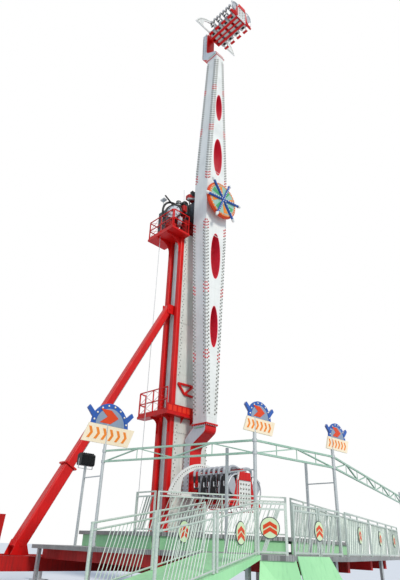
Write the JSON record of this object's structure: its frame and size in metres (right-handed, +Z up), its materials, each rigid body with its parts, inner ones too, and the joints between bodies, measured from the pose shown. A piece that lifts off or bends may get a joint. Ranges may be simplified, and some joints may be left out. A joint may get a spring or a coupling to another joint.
{
  "type": "rotating arm fairground ride",
  "caption": "tall fairground ride with a long box arm turning on a tower head, a free-swinging back-to-back seat gondola at each arm end, fenced decks and a side strut",
  "frame": {"origin": "at ground level on the underside of the centre foot plate, below the arm's hub axis", "axes": "+X right as seen from the front, -Y front (the arm's decorated face), +Z up"},
  "size_m": [20.6186, 16.3636, 34.55],
  "materials": {
    "white_paint": "white enamel paint, satin",
    "red_paint": "red enamel paint, gloss",
    "dark_steel": "dark grey painted castings",
    "galvanised": "galvanised steel tube",
    "mint_paint": "mint green paint",
    "tread_plate": "aluminium tread plate",
    "grey_shell": "moulded light grey seat shell",
    "black_foam": "black moulded foam",
    "silver_tube": "silver coated restraint tube",
    "disc_paint": "orange and green painted panel"
  },
  "bodies": {
    "arm": {"arm_box": "white_paint", "arm_turning_flange": "dark_steel", "hub_front_disc": "disc_paint", "lower_leg": "red_paint", "oval_liners": "red_paint", "upper_leg": "red_paint"},
    "tower": {"cable_tray": "galvanised", "chassis_frame": "red_paint", "deck_joists": "red_paint", "deck_legs": "galvanised", "drive_motors": "dark_steel", "entry_ramp": "mint_paint", "fence_front": "galvanised", "fence_upper": "galvanised", "floodlight": "dark_steel", "front_skirt": "mint_paint", "head_cabinet": "galvanised", "head_frame": "red_paint", "hoist_cable": "galvanised", "hub_bearing_housing": "dark_steel", "jack_feet": "galvanised", "light_masts": "galvanised", "lower_deck": "tread_plate", "lower_platform_parapet": "red_paint", "mast_trusses": "galvanised", "outrigger_beams": "red_paint", "ramp_fences": "galvanised", "side_posts": "red_paint", "sign_boards": "white_paint", "strut_brackets": "galvanised", "strut_conduit": "galvanised", "strut_lower": "red_paint", "strut_upper": "red_paint", "tower_column": "white_paint", "upper_deck": "tread_plate", "upper_deck_fascia": "mint_paint", "walkway_brackets": "red_paint", "walkway_plates": "red_paint", "walkway_rails": "red_paint"},
    "lower_gondola": {"lower_end_panel": "white_paint", "lower_gondola_arch": "white_paint", "lower_gondola_frame": "red_paint", "lower_seat_pads": "black_foam", "lower_seats": "grey_shell"},
    "lower_restraints_left": {"lower_restraints_left": "silver_tube"},
    "lower_restraints_right": {"lower_restraints_right": "silver_tube"},
    "upper_gondola": {"upper_end_panel": "white_paint", "upper_gondola_arch": "white_paint", "upper_gondola_frame": "red_paint", "upper_seat_pads": "black_foam", "upper_seats": "grey_shell"},
    "upper_restraints_left": {"upper_restraints_left": "silver_tube"},
    "upper_restraints_right": {"upper_restraints_right": "silver_tube"}
  },
  "joints": [
    {"name": "arm_spin", "type": "hinge", "parent": "tower", "child": "arm", "pos_m": [0, -1.4, 18.65], "axis": [0, 1, 0], "continuous": true},
    {"name": "lower_gondola_swing", "type": "hinge", "parent": "arm", "child": "lower_gondola", "pos_m": [0, -1.1, 3.75], "axis": [0, 1, 0], "continuous": true},
    {"name": "lower_restraints_left_lift", "type": "hinge", "parent": "lower_gondola", "child": "lower_restraints_left", "pos_m": [-0.1, -2.6, 4.41], "axis": [0, 1, 0], "range_deg": [0, 80]},
    {"name": "lower_restraints_right_lift", "type": "hinge", "parent": "lower_gondola", "child": "lower_restraints_right", "pos_m": [0.1, -2.6, 4.41], "axis": [0, -1, 0], "range_deg": [0, 80]},
    {"name": "upper_gondola_swing", "type": "hinge", "parent": "arm", "child": "upper_gondola", "pos_m": [0, -1.1, 33.55], "axis": [0, 1, 0], "continuous": true},
    {"name": "upper_restraints_left_lift", "type": "hinge", "parent": "upper_gondola", "child": "upper_restraints_left", "pos_m": [-0.1, -2.6, 34.21], "axis": [0, 1, 0], "range_deg": [0, 80]},
    {"name": "upper_restraints_right_lift", "type": "hinge", "parent": "upper_gondola", "child": "upper_restraints_right", "pos_m": [0.1, -2.6, 34.21], "axis": [0, -1, 0], "range_deg": [0, 80]}
  ]
}
